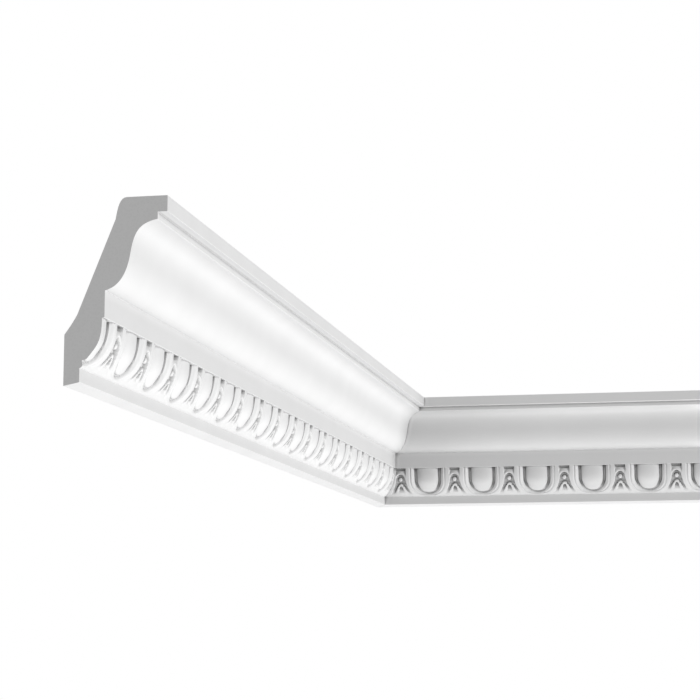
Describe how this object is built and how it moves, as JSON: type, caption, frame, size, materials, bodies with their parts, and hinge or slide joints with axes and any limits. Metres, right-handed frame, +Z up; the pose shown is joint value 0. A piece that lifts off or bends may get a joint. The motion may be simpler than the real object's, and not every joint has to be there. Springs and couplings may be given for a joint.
{
  "type": "mitred cornice moulding length",
  "caption": "White cornice moulding with an egg-and-dart band under an S-curve, mitred and turned at an inside corner, cut square at its ends.",
  "frame": {"origin": "middle of the box's underside, level with the lower back edges of both lengths, on which the part stands", "axes": "+Y along the left length towards the corner, +X along the right length away from the corner, +Z up to the ceiling"},
  "size_m": [0.35, 0.988, 0.11],
  "materials": {
    "white_foam": "satin"
  },
  "bodies": {
    "root": {"left_length": "white_foam", "right_length": "white_foam"}
  },
  "joints": []
}
